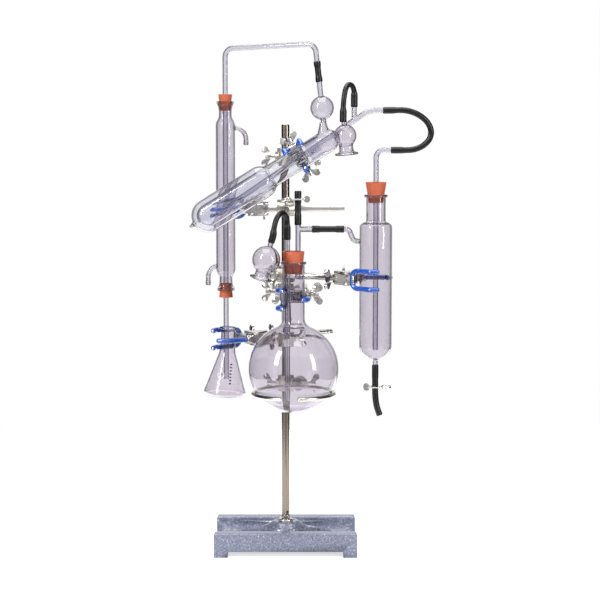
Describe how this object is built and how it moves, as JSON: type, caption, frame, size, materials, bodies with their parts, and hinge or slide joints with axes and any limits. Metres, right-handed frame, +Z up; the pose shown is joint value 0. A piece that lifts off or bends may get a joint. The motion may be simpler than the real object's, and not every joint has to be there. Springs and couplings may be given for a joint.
{
  "type": "kjeldahl distillation apparatus",
  "caption": "Bench still on a cast stand: steam flask, steam trap, slanted jacketed vessel with spray head, upright condenser and receiver, held by adjustable clamps.",
  "frame": {"origin": "bench plane below the axis of the support rod", "axes": "+Z up along the rod, +X to the right and -Y towards the viewer of the picture"},
  "size_m": [0.3566, 0.254, 0.7665],
  "materials": {
    "hammertone_base": "hammered enamel",
    "steel": "polished",
    "zinc_casting": "satin",
    "glass": "clear",
    "red_rubber": "matt",
    "black_rubber": "matt",
    "blue_vinyl": "dipped"
  },
  "bodies": {
    "stand": {"stand_base": "hammertone_base", "stand_rod": "steel", "rod_nut": "steel", "boss_heads": "zinc_casting", "boss_screws": "steel", "vessel_clamp": "zinc_casting", "condenser_clamp": "zinc_casting", "flask_clamp": "zinc_casting", "trap_clamp": "zinc_casting", "steam_flask": "glass", "rubber_stoppers": "red_rubber", "fill_tube": "glass", "tee_tube": "glass", "filling_funnel": "glass", "filling_hose": "black_rubber", "tee_hose": "black_rubber", "tee_pinch_wire": "steel", "rubber_connectors": "black_rubber", "steam_trap": "glass", "trap_tube": "glass", "steam_hose": "black_rubber", "drain_hose": "black_rubber", "drain_pinch_wire": "steel", "distillation_vessel": "glass", "still_head": "glass", "sample_funnel": "glass", "sample_hose": "black_rubber", "condenser_tube": "glass", "condenser_jacket": "glass"},
    "ring_carriage": {"ring_boss": "zinc_casting", "ring_stem_screw": "steel", "support_ring": "steel"},
    "ring_lock": {"ring_lock_screw": "steel"},
    "receiver_carriage": {"receiver_boss": "zinc_casting", "receiver_stem_screw": "steel", "receiver_clamp": "zinc_casting", "receiver_flask": "glass"},
    "receiver_lock": {"receiver_lock_screw": "steel"},
    "tee_pinch_lever": {"tee_pinch_lever": "steel"},
    "drain_pinch_lever": {"drain_pinch_lever": "steel"},
    "vessel_double_jaw": {"vessel_double_jaw": "blue_vinyl"},
    "vessel_double_screw": {"vessel_double_screw": "steel"},
    "vessel_single_jaw": {"vessel_single_jaw": "blue_vinyl"},
    "vessel_single_screw": {"vessel_single_screw": "steel"},
    "condenser_double_jaw": {"condenser_double_jaw": "blue_vinyl"},
    "condenser_double_screw": {"condenser_double_screw": "steel"},
    "condenser_single_jaw": {"condenser_single_jaw": "blue_vinyl"},
    "condenser_single_screw": {"condenser_single_screw": "steel"},
    "flask_double_jaw": {"flask_double_jaw": "blue_vinyl"},
    "flask_double_screw": {"flask_double_screw": "steel"},
    "flask_single_jaw": {"flask_single_jaw": "blue_vinyl"},
    "flask_single_screw": {"flask_single_screw": "steel"},
    "trap_double_jaw": {"trap_double_jaw": "blue_vinyl"},
    "trap_double_screw": {"trap_double_screw": "steel"},
    "trap_single_jaw": {"trap_single_jaw": "blue_vinyl"},
    "trap_single_screw": {"trap_single_screw": "steel"},
    "receiver_double_jaw": {"receiver_double_jaw": "blue_vinyl"},
    "receiver_double_screw": {"receiver_double_screw": "steel"},
    "receiver_single_jaw": {"receiver_single_jaw": "blue_vinyl"},
    "receiver_single_screw": {"receiver_single_screw": "steel"}
  },
  "joints": [
    {"name": "ring_height", "type": "slide", "parent": "stand", "child": "ring_carriage", "axis": [0, 0, 1], "range_m": [-0.15, 0]},
    {"name": "receiver_height", "type": "slide", "parent": "stand", "child": "receiver_carriage", "axis": [0, 0, 1], "range_m": [-0.04, 0.018]},
    {"name": "ring_lock_turn", "type": "hinge", "parent": "ring_carriage", "child": "ring_lock", "pos_m": [-0.01991, 0.00184, 0.25378], "axis": [-0.9957, 0.0921, 0], "range_deg": [0, 720]},
    {"name": "receiver_lock_turn", "type": "hinge", "parent": "receiver_carriage", "child": "receiver_lock", "pos_m": [0.01765, 0.0094, 0.324], "axis": [0.8827, 0.47, 0], "range_deg": [0, 720]},
    {"name": "vessel_double_jaw_swing", "type": "hinge", "parent": "stand", "child": "vessel_double_jaw", "pos_m": [0.01464, -0.044, 0.60803], "axis": [-0.848, 0, -0.5299], "range_deg": [0, 8]},
    {"name": "vessel_double_screw_turn", "type": "hinge", "parent": "vessel_double_jaw", "child": "vessel_double_screw", "pos_m": [0.01666, -0.02835, 0.60481], "axis": [-0.5258, 0.1248, 0.8414], "range_deg": [0, 720]},
    {"name": "vessel_single_jaw_swing", "type": "hinge", "parent": "stand", "child": "vessel_single_jaw", "pos_m": [0.02736, -0.044, 0.58768], "axis": [0.848, 0, 0.5299], "range_deg": [0, 8]},
    {"name": "vessel_single_screw_turn", "type": "hinge", "parent": "vessel_single_jaw", "child": "vessel_single_screw", "pos_m": [0.02534, -0.02835, 0.59091], "axis": [0.5258, 0.1248, -0.8414], "range_deg": [0, 720]},
    {"name": "condenser_double_jaw_swing", "type": "hinge", "parent": "stand", "child": "condenser_double_jaw", "pos_m": [-0.04914, -0.00955, 0.5205], "axis": [0, 0, -1], "range_deg": [0, 8]},
    {"name": "condenser_double_screw_turn", "type": "hinge", "parent": "condenser_double_jaw", "child": "condenser_double_screw", "pos_m": [-0.03332, -0.01331, 0.5205], "axis": [0.0544, 0.9985, 0], "range_deg": [0, 720]},
    {"name": "condenser_single_jaw_swing", "type": "hinge", "parent": "stand", "child": "condenser_single_jaw", "pos_m": [-0.04887, -0.03355, 0.5205], "axis": [0, 0, 1], "range_deg": [0, 8]},
    {"name": "condenser_single_screw_turn", "type": "hinge", "parent": "condenser_single_jaw", "child": "condenser_single_screw", "pos_m": [-0.03314, -0.02944, 0.5205], "axis": [0.0768, -0.997, 0], "range_deg": [0, 720]},
    {"name": "flask_double_jaw_swing", "type": "hinge", "parent": "stand", "child": "flask_double_jaw", "pos_m": [0.00404, -0.05407, 0.3936], "axis": [0, 0, -1], "range_deg": [0, 8]},
    {"name": "flask_double_screw_turn", "type": "hinge", "parent": "flask_double_jaw", "child": "flask_double_screw", "pos_m": [0.00928, -0.03882, 0.3936], "axis": [-0.9781, 0.2081, 0], "range_deg": [0, 720]},
    {"name": "flask_single_jaw_swing", "type": "hinge", "parent": "stand", "child": "flask_single_jaw", "pos_m": [0.02793, -0.05628, 0.3936], "axis": [0, 0, 1], "range_deg": [0, 8]},
    {"name": "flask_single_screw_turn", "type": "hinge", "parent": "flask_single_jaw", "child": "flask_single_screw", "pos_m": [0.02557, -0.04033, 0.3936], "axis": [0.9997, 0.0251, 0], "range_deg": [0, 720]},
    {"name": "trap_double_jaw_swing", "type": "hinge", "parent": "stand", "child": "trap_double_jaw", "pos_m": [0.09112, -0.07519, 0.421], "axis": [0, 0, -1], "range_deg": [0, 8]},
    {"name": "trap_double_screw_turn", "type": "hinge", "parent": "trap_double_jaw", "child": "trap_double_screw", "pos_m": [0.07795, -0.06591, 0.421], "axis": [-0.6673, -0.7448, 0], "range_deg": [0, 720]},
    {"name": "trap_single_jaw_swing", "type": "hinge", "parent": "stand", "child": "trap_single_jaw", "pos_m": [0.10061, -0.05315, 0.421], "axis": [0, 0, 1], "range_deg": [0, 8]},
    {"name": "trap_single_screw_turn", "type": "hinge", "parent": "trap_single_jaw", "child": "trap_single_screw", "pos_m": [0.08482, -0.04996, 0.421], "axis": [0.083, 0.9965, 0], "range_deg": [0, 720]},
    {"name": "receiver_double_jaw_swing", "type": "hinge", "parent": "receiver_carriage", "child": "receiver_double_jaw", "pos_m": [-0.05633, 0.00739, 0.324], "axis": [0, 0, -1], "range_deg": [0, 8]},
    {"name": "receiver_double_screw_turn", "type": "hinge", "parent": "receiver_double_jaw", "child": "receiver_double_screw", "pos_m": [-0.04031, 0.01132, 0.324], "axis": [-0.4678, 0.8838, 0], "range_deg": [0, 720]},
    {"name": "receiver_single_jaw_swing", "type": "hinge", "parent": "receiver_carriage", "child": "receiver_single_jaw", "pos_m": [-0.04505, -0.01379, 0.324], "axis": [0, 0, 1], "range_deg": [0, 8]},
    {"name": "receiver_single_screw_turn", "type": "hinge", "parent": "receiver_single_jaw", "child": "receiver_single_screw", "pos_m": [-0.03285, -0.00269, 0.324], "axis": [0.4722, -0.8815, 0], "range_deg": [0, 720]},
    {"name": "tee_pinch", "type": "hinge", "parent": "stand", "child": "tee_pinch_lever", "pos_m": [0.0098, -0.1012, 0.539], "axis": [0, 0, -1], "range_deg": [0, 12], "stiffness_Nm_per_rad": 0.02},
    {"name": "drain_pinch", "type": "hinge", "parent": "stand", "child": "drain_pinch_lever", "pos_m": [0.1416, -0.0862, 0.261], "axis": [0, 0, 1], "range_deg": [0, 12], "stiffness_Nm_per_rad": 0.02}
  ],
  "couplings": [
    {"joint": "vessel_double_jaw_swing", "follows": "vessel_double_screw_turn", "ratio": 0.011111},
    {"joint": "vessel_single_jaw_swing", "follows": "vessel_single_screw_turn", "ratio": 0.011111},
    {"joint": "condenser_double_jaw_swing", "follows": "condenser_double_screw_turn", "ratio": 0.011111},
    {"joint": "condenser_single_jaw_swing", "follows": "condenser_single_screw_turn", "ratio": 0.011111},
    {"joint": "flask_double_jaw_swing", "follows": "flask_double_screw_turn", "ratio": 0.011111},
    {"joint": "flask_single_jaw_swing", "follows": "flask_single_screw_turn", "ratio": 0.011111},
    {"joint": "trap_double_jaw_swing", "follows": "trap_double_screw_turn", "ratio": 0.011111},
    {"joint": "trap_single_jaw_swing", "follows": "trap_single_screw_turn", "ratio": 0.011111},
    {"joint": "receiver_double_jaw_swing", "follows": "receiver_double_screw_turn", "ratio": 0.011111},
    {"joint": "receiver_single_jaw_swing", "follows": "receiver_single_screw_turn", "ratio": 0.011111}
  ]
}
